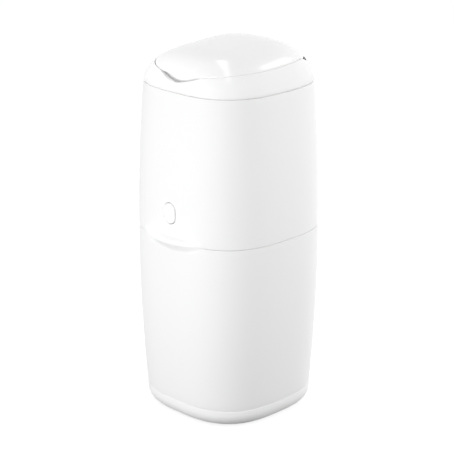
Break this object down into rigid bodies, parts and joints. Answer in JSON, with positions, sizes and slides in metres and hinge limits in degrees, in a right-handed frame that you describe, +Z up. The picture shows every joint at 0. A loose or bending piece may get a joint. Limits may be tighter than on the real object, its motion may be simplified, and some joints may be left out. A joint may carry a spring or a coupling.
{
  "type": "nappy bin",
  "caption": "Upright nappy bin with a bowed square body, domed hinged lid, film cassette with sprung jaws, and an upper body that tilts back to empty the bucket.",
  "frame": {"origin": "on the floor, under the middle of the body", "axes": "+Z up, -Y the front with the button and the grip lip, +X to the right of someone who faces the back"},
  "size_m": [0.2504, 0.2766, 0.5789],
  "materials": {
    "white_shell": "white moulded shell, fine satin",
    "white_gloss": "white moulded plastic, polished",
    "inner_plastic": "pale grey inner moulding",
    "cassette_plastic": "grey moulded plastic",
    "film": "pleated barrier film",
    "rubber": "dark rubber feet",
    "seal_rubber": "soft grey seal",
    "screw_steel": "zinc plated",
    "pin_steel": "ground",
    "spring_steel": "spring steel",
    "blade_steel": "ground blade"
  },
  "bodies": {
    "lower": {"lower_shell": "white_shell", "base_pan": "white_shell", "rubber_feet": "rubber", "base_screws": "screw_steel", "rim_frame": "inner_plastic", "rim_seal": "seal_rubber", "latch_keeper": "spring_steel", "hinge_lower_leaf": "white_shell", "hinge_lower_screws": "screw_steel", "hinge_pin": "pin_steel"},
    "upper": {"upper_shell": "white_shell", "collar": "white_gloss", "collar_screws": "screw_steel", "cassette_cradle": "inner_plastic", "cassette_tub": "cassette_plastic", "film_pack": "film", "cassette_cover": "cassette_plastic", "jaw_housing": "inner_plastic", "housing_screws": "screw_steel", "jaw_pins": "pin_steel", "jaw_springs": "spring_steel", "film_cutter": "cassette_plastic", "cutter_blade": "blade_steel", "cutter_screws": "screw_steel", "hinge_upper_leaf": "white_shell", "hinge_upper_screws": "screw_steel", "button_housing": "inner_plastic", "button_housing_screws": "screw_steel", "latch_pin": "pin_steel", "button_spring": "spring_steel", "lid_pivot_pins": "pin_steel"},
    "button": {"release_button": "white_gloss"},
    "latch": {"latch_hook": "inner_plastic"},
    "lid": {"lid_cover": "white_gloss", "lid_liner": "inner_plastic", "lid_seal": "seal_rubber", "lid_screws": "screw_steel"},
    "front_jaw": {"front_jaw": "inner_plastic", "front_jaw_lip": "seal_rubber"},
    "rear_jaw": {"rear_jaw": "inner_plastic", "rear_jaw_lip": "seal_rubber"}
  },
  "joints": [
    {"name": "body_hinge", "type": "hinge", "parent": "lower", "child": "upper", "pos_m": [0, 0.1333, 0.295], "axis": [-1, 0, 0], "range_deg": [0, 80], "deforming": ["latch_keeper"]},
    {"name": "lid_hinge", "type": "hinge", "parent": "upper", "child": "lid", "pos_m": [0, 0.074, 0.551], "axis": [-1, 0, 0], "range_deg": [0, 92]},
    {"name": "button_press", "type": "slide", "parent": "upper", "child": "button", "axis": [0, 1, 0], "range_m": [0, 0.0025], "stiffness_N_per_m": 600, "springref_m": -0.002, "deforming": ["button_spring"]},
    {"name": "latch_pivot", "type": "hinge", "parent": "upper", "child": "latch", "pos_m": [0, -0.10332, 0.366], "axis": [1, 0, 0], "range_deg": [0, 6]},
    {"name": "front_jaw_hinge", "type": "hinge", "parent": "upper", "child": "front_jaw", "pos_m": [0, -0.072, 0.4443], "axis": [-1, 0, 0], "range_deg": [0, 70], "stiffness_Nm_per_rad": 0.15, "springref_deg": -22.92, "deforming": ["jaw_springs"]},
    {"name": "rear_jaw_hinge", "type": "hinge", "parent": "upper", "child": "rear_jaw", "pos_m": [0, 0.036, 0.4443], "axis": [1, 0, 0], "range_deg": [0, 70], "stiffness_Nm_per_rad": 0.15, "springref_deg": -22.92}
  ],
  "couplings": [
    {"joint": "latch_pivot", "follows": "button_press", "rad_per_m": 34.483}
  ]
}
